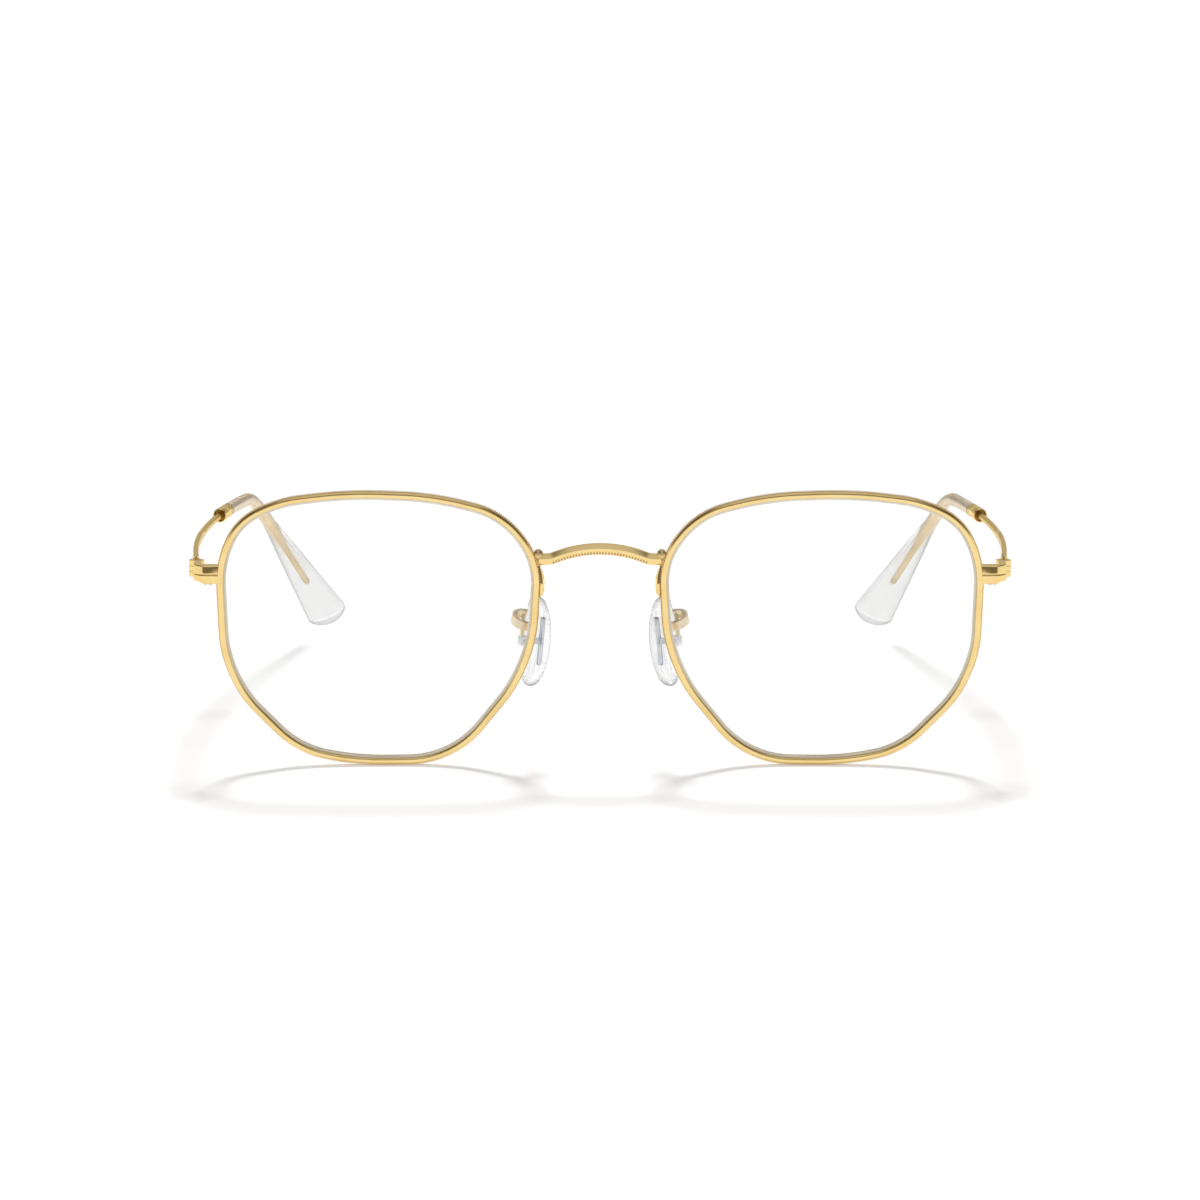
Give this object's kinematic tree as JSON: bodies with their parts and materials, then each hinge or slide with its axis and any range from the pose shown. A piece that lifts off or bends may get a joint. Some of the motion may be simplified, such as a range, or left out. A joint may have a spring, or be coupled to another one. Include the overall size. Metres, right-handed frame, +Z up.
{
  "type": "eyeglasses",
  "caption": "Thin gold wire eyeglasses with softened six-sided rims, clear lenses, an arched bridge, rocking nose pads and folding arms with clear flat tips.",
  "frame": {"origin": "middle of the bounding box on the ground it stands on", "axes": "+Y from the lenses back along the arms, +Z up, +X towards the arm on the right when the lenses are looked at from the front"},
  "size_m": [0.1362, 0.1428, 0.0452],
  "materials": {
    "gold_metal": "polished",
    "gold_screw": "satin",
    "silver_metal": "satin",
    "clear_lens": "clear polished",
    "clear_plastic": "clear polished",
    "clear_silicone": "clear soft"
  },
  "bodies": {
    "front": {"bridge": "gold_metal", "rim_left": "gold_metal", "rim_right": "gold_metal", "lens_left": "clear_lens", "lens_right": "clear_lens", "endpiece_left": "gold_metal", "endpiece_right": "gold_metal", "closing_block_left": "gold_metal", "closing_block_right": "gold_metal", "closing_screw_left": "gold_screw", "closing_screw_right": "gold_screw", "hinge_front_left": "gold_metal", "hinge_front_right": "gold_metal", "hinge_screw_left": "gold_screw", "hinge_screw_right": "gold_screw", "pad_arm_left": "gold_metal", "pad_arm_right": "gold_metal", "pad_box_left": "silver_metal", "pad_box_right": "silver_metal", "pad_screw_left": "silver_metal", "pad_screw_right": "silver_metal"},
    "arm_left": {"hinge_temple_left": "gold_metal", "temple_wire_left": "gold_metal", "ferrule_left": "gold_metal", "temple_tip_left": "clear_plastic"},
    "arm_right": {"hinge_temple_right": "gold_metal", "temple_wire_right": "gold_metal", "ferrule_right": "gold_metal", "temple_tip_right": "clear_plastic"},
    "pad_left": {"pad_insert_left": "silver_metal", "nose_pad_left": "clear_silicone"},
    "pad_right": {"pad_insert_right": "silver_metal", "nose_pad_right": "clear_silicone"}
  },
  "joints": [
    {"name": "temple_fold_left", "type": "hinge", "parent": "front", "child": "arm_left", "pos_m": [-0.06595, -0.06341, 0.0314], "axis": [-0.0227, 0, -0.9997], "range_deg": [0, 80]},
    {"name": "temple_fold_right", "type": "hinge", "parent": "front", "child": "arm_right", "pos_m": [0.06595, -0.06341, 0.0314], "axis": [0.0227, 0, 0.9997], "range_deg": [0, 80]},
    {"name": "pad_rock_left", "type": "hinge", "parent": "front", "child": "pad_left", "pos_m": [-0.01225, -0.06431, 0.0195], "axis": [-0.454, 0.891, 0], "range_deg": [-8, 8]},
    {"name": "pad_rock_right", "type": "hinge", "parent": "front", "child": "pad_right", "pos_m": [0.01225, -0.06431, 0.0195], "axis": [0.454, 0.891, 0], "range_deg": [-8, 8]}
  ]
}
